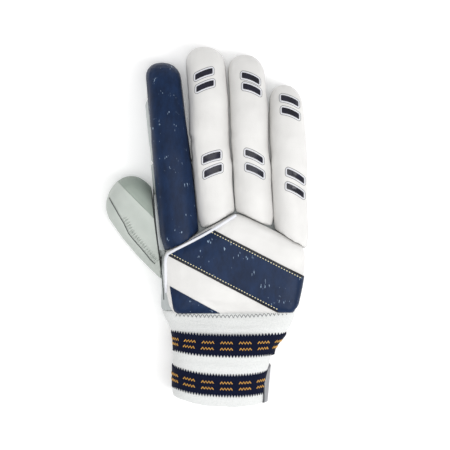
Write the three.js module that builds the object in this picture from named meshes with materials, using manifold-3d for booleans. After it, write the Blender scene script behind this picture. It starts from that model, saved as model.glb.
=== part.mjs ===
// A right-hand cricket batting glove that lies palm down, as it does on a table. All sizes are in millimetres.
// +Y runs from the wrist to the fingertips, +X from the thumb to the little finger, +Z up from the surface.
// The hand, the four finger stalls, the thumb stall and the cuff are hollow. Padded rolls cover the fingers,
// a padded panel covers the back of the hand, and two pads cover the thumb.

import * as THREE from "three";
import { mergeVertices } from "three/addons/utils/BufferGeometryUtils.js";
import Module from "manifold-3d";

const wasm = await Module();
wasm.setup();

// Driving dimensions

const clearance = 0.3; // kept between any two pieces that meet
const leatherWall = 2; // wall of the hand and of the stalls

const hand = {
  length: 115, // wrist seam to the webs between the fingers
  heelWidth: 106, // across the wrist seam
  heelShift: 1.2, // heel's middle towards the little finger, from the knuckles' middle
  depth: 30, // palm to back
  sideShow: 2.7, // stands out beside the index roll
  sideTuck: 2, // stays inside the little roll
  webLift: 5, // rise of the palm at the webs
  palmPress: 0.8, // how far the palm is flattened where it rests
};

// reach is from the webs to the end of the roll, and round is the length of its rounded end.
// stallWidth is the finger's own leather tube, moved sideways by stallShift under its roll.
const fingerSizes = {
  index: { width: 30, reach: 79.5, round: 13.5, stallWidth: 25, stallShift: -4.3 },
  middle: { width: 31.2, reach: 92, round: 16, stallWidth: 22.6, stallShift: 0 },
  ring: { width: 29.6, reach: 85.8, round: 17.5, stallWidth: 22, stallShift: 0 },
  little: { width: 28.1, reach: 62, round: 18.5, stallWidth: 20.6, stallShift: 0 },
};
const fingerHeight = 45.5; // surface to the top of the rolls at the knuckles
const fingerGap = 1; // between neighbouring rolls
const forkGap = 3.6; // more between the index and middle tips
const fanLean = 5.5; // degrees that the index roll's outer edge leans to the thumb's side
const tipPadding = 8; // roll beyond the end of the stall
const rollTuck = 6; // roll that starts under the edge of the back panel, before it is cut to fit

const vent = { length: 13.3, width: 4.4, pitch: 10, corner: 1.2, floor: 2.1, sink: 0.7, plate: 1.1 };

const panel = {
  width: 109, // across the hand
  length: 76, // from the wrist seam to its peak
  inset: 3.4, // from the heel's edge on the thumb's side
  top: 47.5, // its crown above the surface
  skirt: 21, // its lower edge above the surface
  sideFall: 4.5, // how much lower it lies at its sides
  heelFall: 3.5, // and at the wrist
  edgeRound: 5,
  rim: 3.4, // white edge outside the patches on the thumb's side
  hemRim: 1.3, // and at the wrist and the fingers
  patch: 1.2, // thickness of a patch
  patchProud: 0.5, // how far it stands out of the panel
};

const cuff = {
  length: 69, // wrist seam to hem
  width: 75.2, // at the hem
  height: 38,
  wall: 4, // towelling
  shift: 6.8, // hem's middle towards the thumb, from the heel's middle
  hemBow: 4.5, // how far the back of the hem hangs below its sides
  hemSkew: 2.4, // the hem's slant across the wrist
  bandWall: 0.9,
};
const strap = { width: 28, thickness: 1.5, from: -146, to: 31, hemInset: 1.2 }; // from and to in degrees

const thumb = {
  length: 52, // from the hand's side to its end
  width: 44,
  height: 33,
  round: 16, // length of its rounded end
  lean: 45, // degrees from the fingers' direction
  rootShare: 0.52, // its place on the hand's side, from the wrist seam to the webs
  ridge: 7, // ridge between its two pads, from its middle line
  stallWidth: 31,
  stallHeight: 24,
  stallShift: 1.5,
  tipPadding: 7,
  rootReach: 34, // how far its shape is carried into the hand before it is cut to fit
};

// Shape tables. Their lengths are shares of the sizes above.

// Widths of the rolls from the wrist seam, 0, to the longest tip, 1, as shares of each roll's width.
const fanRows = [
  { along: 0.2, fork: 0, index: 1, middle: 0.9, ring: 0.96, little: 0.91 },
  { along: 0.42, fork: 0, index: 1, middle: 0.925, ring: 0.965, little: 0.93 },
  { along: 0.57, fork: 0, index: 0.99, middle: 0.975, ring: 0.98, little: 1 },
  { along: 0.66, fork: 0.06, index: 0.965, middle: 0.99, ring: 0.99, little: 1 },
  { along: 0.72, fork: 0.45, index: 0.95, middle: 1, ring: 0.99, little: 0.965 },
  { along: 0.8, fork: 0.9, index: 0.945, middle: 0.985, ring: 1, little: 0.94 },
  { along: 0.87, fork: 1, index: 0.93, middle: 1, ring: 0.985, little: 0.94 },
  { along: 1, fork: 1, index: 0.93, middle: 1, ring: 0.985, little: 0.94 },
];

// Heights along a finger, from the wrist seam, -1, over the webs, 0, to the end of the roll, 1, as shares
// of the finger height: the roll's crest and foot, and the roof and floor of the stall.
const curlRows = [
  { along: -1, crest: 0.95, foot: 0.42, roof: 0.58, floor: 0.15 },
  { along: -0.4, crest: 0.98, foot: 0.42, roof: 0.58, floor: 0.15 },
  { along: 0, crest: 1, foot: 0.38, roof: 0.58, floor: 0.15 },
  { along: 0.25, crest: 0.985, foot: 0.36, roof: 0.66, floor: 0.23 },
  { along: 0.5, crest: 0.92, foot: 0.29, roof: 0.61, floor: 0.16 },
  { along: 0.75, crest: 0.785, foot: 0.14, roof: 0.49, floor: 0.03 },
  { along: 0.9, crest: 0.665, foot: 0.04, roof: 0.42, floor: 0 },
  { along: 1, crest: 0.58, foot: 0.02, roof: 0.38, floor: 0 },
];

// The hand from the wrist seam, 0, to the webs, 1. spread is 0 at the heel's width and 1 at the knuckles'.
const handRows = [
  { along: 0, spread: 0, depth: 1.04, lift: 0 },
  { along: 0.22, spread: 0.02, depth: 1, lift: 0 },
  { along: 0.49, spread: 0.27, depth: 0.99, lift: 0 },
  { along: 0.76, spread: 0.7, depth: 0.98, lift: 0.08 },
  { along: 1, spread: 1, depth: 0.93, lift: 1 },
];

// The back panel's outline: across its width from the thumb's side, and along its length from the wrist.
const panelOutline = [
  { across: 0.07, along: 0 },
  { across: 0.905, along: 0.004 },
  { across: 0.945, along: 0.066 },
  { across: 0.966, along: 0.209 },
  { across: 0.984, along: 0.363 },
  { across: 0.998, along: 0.517 },
  { across: 0.995, along: 0.6 },
  { across: 0.974, along: 0.671 },
  { across: 0.852, along: 0.772 },
  { across: 0.565, along: 0.975 },
  { across: 0.501, along: 1 },
  { across: 0.45, along: 0.965 },
  { across: 0.322, along: 0.861 },
  { across: 0.02, along: 0.62 },
  { across: 0, along: 0.59 },
  { across: -0.008, along: 0.517 },
  { across: 0, along: 0.271 },
  { across: 0.03, along: 0.07 },
];
// How the panel's edge rolls over, from its lower edge to its crown: height, inset in edge rounds, size.
const panelRims = [
  { height: 0, inset: 0, size: 1 },
  { height: 0.68, inset: 0, size: 1 },
  { height: 0.86, inset: 0.25, size: 1 },
  { height: 0.96, inset: 0.85, size: 1 },
  { height: 0.985, inset: 1, size: 0.86 },
  { height: 1, inset: 1, size: 0.45 },
];
// The coloured patches run past the panel's edge, where they are cut to fit.
const bandOutline = [
  { across: -0.115, along: 0.67 },
  { across: 0.172, along: 0.956 },
  { across: 1.1, along: 0.274 },
  { across: 0.959, along: -0.092 },
];
const cornerOutline = [
  { across: -0.115, along: 0.404 },
  { across: 0.53, along: -0.123 },
  { across: -0.115, along: -0.12 },
];

// The cuff from the wrist seam, 0, to the hem, 1. flare is 0 at the hem's width and 1 at the heel's, rise
// lifts its underside on to the strap, and bow is the share of the hem's bow and skew.
const cuffRows = [
  { along: 0, flare: 1, height: 0.82, rise: 0, shift: 0, bow: 0 },
  { along: 0.12, flare: 0.79, height: 0.83, rise: 0.5, shift: -0.1, bow: 0.05 },
  { along: 0.19, flare: 0.63, height: 0.86, rise: 0.85, shift: -0.08, bow: 0.15 },
  { along: 0.26, flare: 0.43, height: 0.89, rise: 1, shift: 0.08, bow: 0.28 },
  { along: 0.33, flare: 0.25, height: 0.92, rise: 1, shift: 0.38, bow: 0.42 },
  { along: 0.46, flare: 0.07, height: 0.96, rise: 1, shift: 0.74, bow: 0.68 },
  { along: 0.56, flare: 0.02, height: 1, rise: 1, shift: 0.86, bow: 0.8 },
  { along: 0.66, flare: -0.04, height: 0.98, rise: 1, shift: 1.07, bow: 0.9 },
  { along: 0.9, flare: -0.05, height: 0.98, rise: 1, shift: 1.12, bow: 1 },
  { along: 1, flare: -0.07, height: 0.98, rise: 1, shift: 1.08, bow: 1 },
];
const cuffBands = [
  { name: "upper_band", from: 0.26, to: 0.46 },
  { name: "lower_band", from: 0.66, to: 0.9 },
];

// The thumb from the hand's side, 0, to its end, 1. near and far are its edges from its middle line, on the
// wrist's and the fingers' side, as shares of its width.
const thumbRows = [
  { along: -0.7, near: 0.54, far: 0.42, height: 0.94 },
  { along: 0, near: 0.54, far: 0.48, height: 0.98 },
  { along: 0.33, near: 0.505, far: 0.505, height: 1 },
  { along: 0.56, near: 0.47, far: 0.51, height: 1 },
  { along: 0.75, near: 0.41, far: 0.5, height: 0.96 },
  { along: 0.9, near: 0.34, far: 0.49, height: 0.88 },
  { along: 1, near: 0.28, far: 0.48, height: 0.8 },
];
// The thumb's section round from its ridge: across from -1 at the near edge to 1 at the far edge, up to 1.
const thumbSection = [
  { across: 0.34, up: 1 },
  { across: 0.66, up: 0.86 },
  { across: 0.92, up: 0.6 },
  { across: 1, up: 0.34 },
  { across: 0.9, up: 0.13 },
  { across: 0.5, up: 0.09 },
  { across: -0.5, up: 0.07 },
  { across: -0.92, up: 0.11 },
  { across: -1, up: 0.3 },
  { across: -0.84, up: 0.55 },
  { across: -0.4, up: 0.78 },
  { across: 0.06, up: 0.96 },
];

// Pairs of vents: place from the webs, 0, to the finger's end, 1, place from the roll's middle, 0, to where
// the vent would reach its edge, 1, spacing, and the vent's rise for each unit across from the thumb's side.
const ventRows = [
  { finger: "middle", along: 0.698, across: -0.22, spacing: 0.96, slope: 0.39 },
  { finger: "middle", along: -0.015, across: 0.02, spacing: 1.08, slope: 0.38 },
  { finger: "ring", along: 0.716, across: 0.34, spacing: 0.87, slope: -0.39 },
  { finger: "ring", along: -0.009, across: 0.26, spacing: 1.12, slope: -0.48 },
  { finger: "little", along: 0.702, across: 0.4, spacing: 1, slope: -0.38 },
  { finger: "little", along: -0.257, across: 0.6, spacing: 1.1, slope: -0.54 },
];

// Upright sections: the height of their widest place, as a share of their height, and how square they are
// above and below it, where 2 is round.
const sections = {
  roll: { seam: 0.4, crown: 2.5, base: 4.5 },
  stall: { seam: 0.45, crown: 2.4, base: 3 },
  hand: { seam: 0.42, crown: 2.7, base: 3.4 },
  cuff: { seam: 0.46, crown: 2.5, base: 3 },
};
// Rounded ends: the height that they close to, as a share of the height, and how late they close to it.
const ends = {
  roll: { middle: 0.36, power: 0.7 },
  stall: { middle: 0.3, power: 0.7 },
  thumb: { middle: 0.36, power: 0.7 },
  thumbStall: { middle: 0.4, power: 0.6 },
};
const endTurn = 0.47; // of a half turn, from the start of a rounded end to its tip
const endPower = 0.88; // a little squarer than round
const startPower = 1.4; // closer steps at the start of a shape
const rollStart = 0.82; // width of a roll's start, under the panel's edge, as a share of its width

// Sides round each shape, and steps along it and round its end.
const facets = {
  roll: { sides: 16, steps: 6, endSteps: 5 },
  stall: { sides: 10, steps: 5, endSteps: 3 },
  hand: { sides: 24, steps: 5 },
  cuff: { sides: 24 },
  strap: { steps: 18 },
  thumb: { sides: 16, steps: 5, endSteps: 4 },
  thumbStall: { sides: 12, steps: 2, endSteps: 3 },
};

// Layout. The wrist seam is at y = 0, and the index roll's edge is at x = 0 over the webs, until the end of
// the file centres the glove.

const fingers = Object.entries(fingerSizes).map(([name, sizes]) => ({ name, ...sizes }));
const longestReach = Math.max(...fingers.map((finger) => finger.reach));
const gloveReach = hand.length + longestReach;
const webY = hand.length;
const midHandY = webY / 2;
const mouthPast = 3; // how far a hollow's shape runs past its mouth
const cuffFloor = strap.thickness + cuff.bandWall + 2 * clearance; // the towelling's underside
const [indexFinger, , , littleFinger] = fingers;

const mix = (from, to, share) => from + (to - from) * share;

// The value of a table's column at a place along it, on a smooth curve through its rows.
function track(rows, column, along) {
  const last = rows.length - 1;
  if (along <= rows[0].along) return rows[0][column];
  if (along >= rows[last].along) return rows[last][column];
  const i = rows.findIndex((row) => row.along > along) - 1;
  const slope = (a, b) => (rows[b][column] - rows[a][column]) / (rows[b].along - rows[a].along);
  const step = rows[i + 1].along - rows[i].along;
  const t = (along - rows[i].along) / step;
  const leave = slope(Math.max(i - 1, 0), i + 1) * step;
  const arrive = slope(i, Math.min(i + 2, last)) * step;
  const start = rows[i][column];
  const rise = rows[i + 1][column] - start;
  return start + t * leave + t ** 2 * (3 * rise - 2 * leave - arrive) + t ** 3 * (leave + arrive - 2 * rise);
}

// The index roll's outer edge, from which the other rolls are laid out.
const fanEdge = (y) => (webY - y) * Math.tan(THREE.MathUtils.degToRad(fanLean));

// The two edges of a roll at a distance from the wrist seam. Each roll starts a gap after the last one.
function rollEdges(finger, y) {
  const along = y / gloveReach;
  let left = fanEdge(y);
  for (const each of fingers) {
    const right = left + each.width * track(fanRows, each.name, along);
    if (each === finger) return { left, right };
    left = right + fingerGap + (each === indexFinger ? forkGap * track(fanRows, "fork", along) : 0);
  }
}

// A height along a finger, from a column of curlRows.
function curl(finger, y, column) {
  const along = y > webY ? (y - webY) / finger.reach : (y - webY) / hand.length;
  return fingerHeight * track(curlRows, column, along);
}

const knuckles = {
  left: rollEdges(indexFinger, webY).left - hand.sideShow,
  right: rollEdges(littleFinger, webY).right - hand.sideTuck,
};
const heelMiddle = (knuckles.left + knuckles.right) / 2 + hand.heelShift;
const heel = { left: heelMiddle - hand.heelWidth / 2, right: heelMiddle + hand.heelWidth / 2 };

function handEdges(y) {
  const spread = track(handRows, "spread", y / hand.length);
  return { left: mix(heel.left, knuckles.left, spread), right: mix(heel.right, knuckles.right, spread) };
}

const panelPoint = ({ across, along }) =>
  new THREE.Vector2(heel.left + panel.inset + across * panel.width, along * panel.length);

// The y of the panel's edge on the fingers' side, at a distance across the hand or the panel's nearest one.
function panelEdgeY(distance) {
  const points = panelOutline.map(panelPoint);
  const sides = points.map((point) => point.x);
  const x = THREE.MathUtils.clamp(distance, Math.min(...sides) + clearance, Math.max(...sides) - clearance);
  const crossings = points.flatMap((point, i) => {
    const next = points[(i + 1) % points.length];
    const t = (x - point.x) / (next.x - point.x);
    return t >= 0 && t < 1 ? [mix(point.y, next.y, t)] : [];
  });
  return Math.max(...crossings);
}

// Solids

function solidFrom(vertProperties, index) {
  const make = (triVerts) => new wasm.Manifold(new wasm.Mesh({ numProp: 3, vertProperties, triVerts }));
  const solid = make(new Uint32Array(index));
  return solid.volume() > 0 ? solid : make(new Uint32Array(index).reverse()); // faces point out
}

// A solid through rings of points, all with the same number. A looped one joins its last ring to its first,
// and any other is closed with a fan of triangles at each end.
function loft(rings, looped = false) {
  const sides = rings[0].length;
  const points = rings.flat();
  const index = [];
  rings.slice(looped ? 0 : 1).forEach((_, i) => {
    const here = i * sides;
    const next = ((i + 1) % rings.length) * sides;
    for (let j = 0; j < sides; j++) {
      const k = (j + 1) % sides;
      index.push(here + j, next + j, here + k, here + k, next + j, next + k);
    }
  });
  if (!looped) {
    for (const first of [0, (rings.length - 1) * sides]) {
      const ring = points.slice(first, first + sides);
      const middle = ring.reduce((sum, p) => sum.add(p), new THREE.Vector3()).divideScalar(sides);
      const centre = points.push(middle) - 1;
      for (let j = 0; j < sides; j++) {
        const [a, b] = first === 0 ? [j, (j + 1) % sides] : [(j + 1) % sides, j];
        index.push(centre, first + a, first + b);
      }
    }
  }
  return solidFrom(new Float32Array(points.flatMap((p) => [p.x, p.y, p.z])), index);
}

// An upright prism through an outline of 2D points.
function prism(outline, low, high) {
  const shape = new THREE.Shape(outline);
  const geometry = new THREE.ExtrudeGeometry(shape, { depth: high - low, bevelEnabled: false });
  geometry.translate(0, 0, low).deleteAttribute("normal").deleteAttribute("uv");
  const merged = mergeVertices(geometry);
  return solidFrom(merged.attributes.position.array, merged.index.array);
}

// A ring in an upright plane at y: a rounded box of a section, widest at its seam.
function boxRing({ y, left, right, bottom, top }, { seam, crown, base }, sides) {
  const seamZ = mix(bottom, top, seam);
  return Array.from({ length: sides }, (_, i) => {
    const angle = (2 * Math.PI * i) / sides;
    const [c, s] = [Math.cos(angle), Math.sin(angle)];
    const power = 2 / (s >= 0 ? crown : base);
    const x = (left + right) / 2 + ((right - left) / 2) * Math.sign(c) * Math.abs(c) ** power;
    const z = seamZ + (s >= 0 ? top - seamZ : bottom - seamZ) * Math.abs(s) ** power;
    return new THREE.Vector3(x, y, z);
  });
}

// Places along a shape that ends in a rounded end: close falls from 1 to nearly 0 round that end, and is
// startClose at the start.
function roundedRun(from, to, round, { steps, endSteps }, startClose = 1) {
  const straight = Array.from({ length: steps + 1 }, (_, i) => ({
    y: mix(from, to - round, (i / steps) ** startPower),
    close: i === 0 ? startClose : 1,
  }));
  const end = Array.from({ length: endSteps }, (_, i) => {
    const angle = ((i + 1) / endSteps) * endTurn * Math.PI;
    return { y: to - round + round * Math.sin(angle) ** endPower, close: Math.cos(angle) ** endPower };
  });
  return [...straight, ...end];
}

// Squeezes a span towards its middle, and a height as a rounded end does.
const squeeze = (from, to, share, middle = 0.5) =>
  [from, to].map((edge) => mix(mix(from, to, middle), edge, share));
const squeezeHeight = (low, high, close, end) => squeeze(low, high, close ** end.power, end.middle);

function rollSolid(finger, grow = 0) {
  const start = panelEdgeY(rollMiddle(finger, midHandY)) - rollTuck - grow;
  const end = webY + finger.reach + grow;
  return loft(
    roundedRun(start, end, finger.round, facets.roll, rollStart).map(({ y, close }) => {
      const edges = rollEdges(finger, y);
      const [left, right] = squeeze(edges.left - grow, edges.right + grow, close);
      const [foot, crest] = [curl(finger, y, "foot") - grow, curl(finger, y, "crest") + grow];
      const [bottom, top] = squeezeHeight(foot, crest, close, ends.roll);
      return boxRing({ y, left, right, bottom, top }, sections.roll, facets.roll.sides);
    }),
  );
}

function rollMiddle(finger, y) {
  const { left, right } = rollEdges(finger, y);
  return (left + right) / 2;
}

function stallSolid(finger, grow, from = webY + clearance) {
  const half = finger.stallWidth / 2;
  const end = webY + finger.reach - tipPadding + grow;
  return loft(
    roundedRun(from, end, half, facets.stall).map(({ y, close }) => {
      const middle = rollMiddle(finger, y) + finger.stallShift;
      const [left, right] = squeeze(middle - half - grow, middle + half + grow, close);
      const [floor, roof] = [curl(finger, y, "floor") - grow, curl(finger, y, "roof") + grow];
      const [bottom, top] = squeezeHeight(floor, roof, close, ends.stall);
      return boxRing({ y, left, right, bottom, top }, sections.stall, facets.stall.sides);
    }),
  );
}

function handSolid(grow, from, to) {
  const { sides, steps } = facets.hand;
  return loft(
    Array.from({ length: steps + 1 }, (_, i) => {
      const y = mix(from, to, i / steps);
      const along = y / hand.length;
      const { left, right } = handEdges(y);
      const lift = hand.webLift * Math.max(0, track(handRows, "lift", along));
      const height = hand.depth * track(handRows, "depth", along);
      const [bottom, top] = [lift - hand.palmPress - grow, height + grow];
      const ring = boxRing({ y, left: left - grow, right: right + grow, bottom, top }, sections.hand, sides);
      return ring.map((point) => point.setZ(Math.max(point.z, -grow)));
    }),
  );
}

// The point of the cuff's surface at a share of its length, and an angle from the little finger's side.
function cuffPoint(along, angle, grow) {
  const { seam, crown, base } = sections.cuff;
  const half = mix(cuff.width, hand.heelWidth, track(cuffRows, "flare", along)) / 2 + grow;
  const middle = heelMiddle - cuff.shift * track(cuffRows, "shift", along);
  const bottom = cuffFloor * track(cuffRows, "rise", along);
  const top = bottom + cuff.height * track(cuffRows, "height", along) + grow;
  const seamZ = mix(bottom - grow, top, seam);
  const [c, s] = [Math.cos(angle), Math.sin(angle)];
  const power = 2 / (s >= 0 ? crown : base);
  const hem = cuff.hemBow * Math.max(0, s) ** 2 + cuff.hemSkew * c;
  return new THREE.Vector3(
    middle + half * Math.sign(c) * Math.abs(c) ** power,
    -clearance - along * cuff.length - track(cuffRows, "bow", along) * hem,
    seamZ + (s >= 0 ? top - seamZ : bottom - grow - seamZ) * Math.abs(s) ** power,
  );
}

function cuffRing(along, grow) {
  const { sides } = facets.cuff;
  return Array.from({ length: sides }, (_, i) => cuffPoint(along, (2 * Math.PI * i) / sides, grow));
}

// A sleeve of the cuff's shape between two rows of its table, from one growth to another.
function sleeve(from, to, inner, outer) {
  const places = cuffRows.map((row) => row.along).filter((along) => along >= from && along <= to);
  const out = places.map((along) => cuffRing(along, outer));
  const back = places.reverse().map((along) => cuffRing(along, inner));
  return loft([...out, ...back], true);
}

const bandSide = cuff.bandWall + 2 * clearance; // the strap's inner face, from the towelling

function strapSolid() {
  const outer = bandSide + strap.thickness;
  const hemEnd = 1 - strap.hemInset / cuff.length;
  const wristEnd = hemEnd - strap.width / cuff.length;
  const { steps } = facets.strap;
  return loft(
    Array.from({ length: steps + 1 }, (_, i) => {
      const angle = THREE.MathUtils.degToRad(mix(strap.from, strap.to, i / steps));
      const [inward, outward] = [bandSide - clearance, outer].map((grow) =>
        [wristEnd, hemEnd].map((along) => cuffPoint(along, angle, grow)),
      );
      return [...inward, ...outward.reverse()];
    }),
  );
}

// The panel's full shape, before the hand is cut out of it.
function panelSolid(grow) {
  const outline = panelOutline.map(panelPoint);
  const centre = outline.reduce((sum, p) => sum.add(p), new THREE.Vector2()).divideScalar(outline.length);
  const rise = panel.top - panel.skirt;
  return loft(
    panelRims.map(({ height, inset, size }) =>
      outline.map((point) => {
        const ray = point.clone().sub(centre);
        ray.setLength(ray.length() * size - inset * panel.edgeRound + grow);
        const { x, y } = ray.add(centre);
        const side = (x - centre.x) / (panel.width / 2);
        const fall = panel.sideFall * side ** 2 + panel.heelFall * (1 - y / panel.length);
        return new THREE.Vector3(x, y, panel.skirt + height * (rise - fall) + (height > 0 ? grow : -grow));
      }),
    ),
  );
}

// The space of a patch on the panel. margin widens it.
function patchPrism(outline, margin) {
  const across = 1 - panel.rim / panel.width;
  const along = 1 - (2 * panel.hemRim) / panel.length;
  const field = panelOutline.map((p) =>
    panelPoint({ across: 1 + (p.across - 1) * across, along: 0.5 + (p.along - 0.5) * along }),
  );
  const grown = [outline.map(panelPoint), field].map((points) => growOutline(points, margin));
  return prism(grown[0], 0, 2 * panel.top).intersect(prism(grown[1], 0, 2 * panel.top));
}

// Moves each edge of an outline out by a margin, and meets the edges again.
function growOutline(points, margin) {
  if (!margin) return points;
  const turn = Math.sign(THREE.ShapeUtils.area(points));
  const edges = points.map((point, i) => {
    const along = points[(i + 1) % points.length].clone().sub(point).normalize();
    const out = new THREE.Vector2(along.y, -along.x).multiplyScalar(turn * margin);
    return { along, at: point.clone().add(out) };
  });
  return edges.map((edge, i) => {
    const before = edges[(i + edges.length - 1) % edges.length];
    const reach = edge.at.clone().sub(before.at).cross(edge.along) / before.along.cross(edge.along);
    return before.at.clone().add(before.along.clone().multiplyScalar(reach));
  });
}

const patchFloor = panel.patchProud - panel.patch;

function patchSolid(outline) {
  const sheet = panelSolid(panel.patchProud).subtract(panelSolid(patchFloor));
  return sheet.intersect(patchPrism(outline, 0)).subtract(handGrown);
}

function patchRecess(outline) {
  return patchPrism(outline, clearance).subtract(panelSolid(patchFloor - clearance));
}

const ventBase = fingerHeight / 2; // the vents lie above it

// The outlines of a finger's vents.
function ventOutlines(finger, margin) {
  return ventRows
    .filter((row) => row.finger === finger.name)
    .flatMap((row) =>
      [0.5, -0.5].map((side) => {
        const y = webY + row.along * finger.reach + side * row.spacing * vent.pitch;
        const { left, right } = rollEdges(finger, y);
        const x = (left + right) / 2 + (row.across * (right - left - vent.length)) / 2;
        const [long, short] = [vent.length / 2 + margin, vent.width / 2 + margin];
        const corners = [
          [long, short - vent.corner],
          [long - vent.corner, short],
          [vent.corner - long, short],
          [-long, short - vent.corner],
          [-long, vent.corner - short],
          [vent.corner - long, -short],
          [long - vent.corner, -short],
          [long, vent.corner - short],
        ];
        return corners.map(([a, b]) => new THREE.Vector2(x + a, y + b + a * row.slope));
      }),
    );
}

// The thumb's place: its own +Y runs from the hand's side to its end.
const thumbRootY = thumb.rootShare * hand.length;
const thumbPlace = new THREE.Matrix4()
  .makeRotationZ(THREE.MathUtils.degToRad(thumb.lean))
  .setPosition(handEdges(thumbRootY).left, thumbRootY, 0);

const thumbLoft = (rings) => loft(rings.map((ring) => ring.map((point) => point.applyMatrix4(thumbPlace))));

function thumbSolid() {
  const outline = thumbSection.map(({ across, up }) => new THREE.Vector3(across, 0, up));
  const curve = new THREE.CatmullRomCurve3(outline, true, "centripetal");
  const section = curve.getPoints(facets.thumb.sides).slice(1);
  return thumbLoft(
    roundedRun(-thumb.rootReach, thumb.length, thumb.round, facets.thumb).map(({ y, close }) => {
      const share = (column) => track(thumbRows, column, y / thumb.length);
      const [near, far] = squeeze(-thumb.width * share("near"), thumb.width * share("far"), close);
      const [low, high] = squeezeHeight(0, thumb.height * share("height"), close, ends.thumb);
      return section.map((p) => new THREE.Vector3(mix(near, far, (p.x + 1) / 2), y, mix(low, high, p.z)));
    }),
  );
}

function thumbStallSolid(grow) {
  const half = thumb.stallWidth / 2;
  const end = thumb.length - thumb.tipPadding;
  return thumbLoft(
    roundedRun(-thumb.rootReach, end + grow, half, facets.thumbStall).map(({ y, close }) => {
      const [left, right] = squeeze(thumb.stallShift - half - grow, thumb.stallShift + half + grow, close);
      const [bottom, top] = squeezeHeight(-grow, thumb.stallHeight + grow, close, ends.thumbStall);
      return boxRing({ y, left, right, bottom, top }, sections.stall, facets.thumbStall.sides);
    }),
  );
}

// The half of the thumb's space on one side of its ridge: -1 is the near side and 1 the far side.
function thumbHalf(side) {
  const [edge, past] = [thumb.ridge + (side * clearance) / 2, thumb.ridge + side * thumb.width];
  const [back, front] = [-2 * thumb.rootReach, 2 * thumb.length];
  const corners = [[edge, back], [past, back], [past, front], [edge, front]];
  return prism(
    corners.map(([x, y]) => {
      const point = new THREE.Vector3(x, y, 0).applyMatrix4(thumbPlace);
      return new THREE.Vector2(point.x, point.y);
    }),
    -thumb.height,
    2 * thumb.height,
  );
}

// Pieces

const finish = {
  whiteHide: { color: "#ecebe8", roughness: 0.5, metalness: 0 },
  navyHide: { color: "#1c2747", roughness: 0.38, metalness: 0 },
  palmLeather: { color: "#d9dcd8", roughness: 0.62, metalness: 0 },
  thumbLeather: { color: "#cdd3cb", roughness: 0.6, metalness: 0 },
  ventPlate: { color: "#14172b", roughness: 0.22, metalness: 0 },
  towelling: { color: "#efefef", roughness: 0.95, metalness: 0 },
  navyElastic: { color: "#15203f", roughness: 0.9, metalness: 0 },
  strapVinyl: { color: "#a9abb0", roughness: 0.45, metalness: 0 },
};

const glove = new THREE.Group();
glove.name = "batting_glove";

function addPiece(name, solid, look) {
  const { vertProperties, triVerts } = solid.getMesh();
  const geometry = new THREE.BufferGeometry();
  geometry.setAttribute("position", new THREE.BufferAttribute(vertProperties, 3));
  geometry.setIndex(new THREE.BufferAttribute(triVerts, 1));
  geometry.computeVertexNormals();
  const mesh = new THREE.Mesh(geometry, new THREE.MeshStandardMaterial(look));
  mesh.name = name;
  glove.add(mesh);
}

// A solid's largest body, without the slivers that a cut leaves at an edge.
const largestBody = (solid) =>
  solid.decompose().reduce((largest, body) => (body.volume() > largest.volume() ? body : largest));

const cutAll = (solid, cutters) => largestBody(cutters.reduce((rest, cutter) => rest.subtract(cutter), solid));

const handGrown = handSolid(clearance, -mouthPast, webY + clearance);
const thumbHollow = thumbStallSolid(-leatherWall);
const thumbStallGrown = thumbStallSolid(clearance);
const panelGrown = panelSolid(panel.patchProud + clearance);

const mouthY = webY - leatherWall - mouthPast;
const stallMouths = fingers.map((finger) => stallSolid(finger, -leatherWall, mouthY));
addPiece(
  "hand",
  cutAll(handSolid(0, 0, webY), [
    handSolid(-leatherWall, -mouthPast, webY - leatherWall),
    ...stallMouths,
    thumbHollow,
  ]),
  finish.palmLeather,
);

fingers.forEach((finger, i) => {
  addPiece(`${finger.name}_stall`, stallSolid(finger, 0).subtract(stallMouths[i]), finish.palmLeather);
});

for (const finger of fingers) {
  const stallGrown = stallSolid(finger, 2 * clearance, webY - mouthPast);
  const under = [handGrown, stallGrown, thumbStallGrown, panelGrown];
  const recesses = ventOutlines(finger, clearance).map((outline) =>
    prism(outline, ventBase, 2 * fingerHeight).subtract(rollSolid(finger, -vent.floor)),
  );
  const look = finger === indexFinger ? finish.navyHide : finish.whiteHide;
  addPiece(`${finger.name}_roll`, cutAll(rollSolid(finger), [...under, ...recesses]), look);

  const ventSheet = rollSolid(finger, -vent.sink).subtract(rollSolid(finger, -vent.sink - vent.plate));
  ventOutlines(finger, 0).forEach((outline, i) => {
    const space = prism(outline, ventBase + clearance, 2 * fingerHeight);
    addPiece(`${finger.name}_vent_${i + 1}`, largestBody(ventSheet.intersect(space)), finish.ventPlate);
  });
}

addPiece(
  "back_panel",
  cutAll(panelSolid(0), [handGrown, thumbStallGrown, patchRecess(bandOutline), patchRecess(cornerOutline)]),
  finish.whiteHide,
);
addPiece("panel_band", patchSolid(bandOutline), finish.navyHide);
addPiece("panel_corner", patchSolid(cornerOutline), finish.navyHide);

addPiece("thumb_stall", cutAll(thumbStallSolid(0), [handGrown, thumbHollow]), finish.palmLeather);
const thumbUnder = [handGrown, thumbStallGrown, rollSolid(indexFinger, clearance), panelGrown];
const thumbPads = cutAll(thumbSolid(), thumbUnder);
addPiece("thumb_back_pad", thumbPads.intersect(thumbHalf(-1)), finish.thumbLeather);
addPiece("thumb_side_pad", thumbPads.intersect(thumbHalf(1)), finish.thumbLeather);

addPiece("cuff", sleeve(0, 1, -cuff.wall, 0), finish.towelling);
for (const { name, from, to } of cuffBands) {
  addPiece(name, sleeve(from, to, clearance, clearance + cuff.bandWall), finish.navyElastic);
}
const [upperBand] = cuffBands;
const strapUnder = sleeve(upperBand.to, 1, -cuff.wall, bandSide);
addPiece("strap", strapSolid().subtract(strapUnder), finish.strapVinyl);

// The origin is on the surface, under the middle of the glove.
const box = new THREE.Box3().setFromObject(glove);
const middle = box.getCenter(new THREE.Vector3());
glove.position.set(-middle.x, -middle.y, -box.min.z);

export default glove;
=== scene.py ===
# The looks of a cricket batting glove, made over its fixed model. Blender works in metres here.

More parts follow.
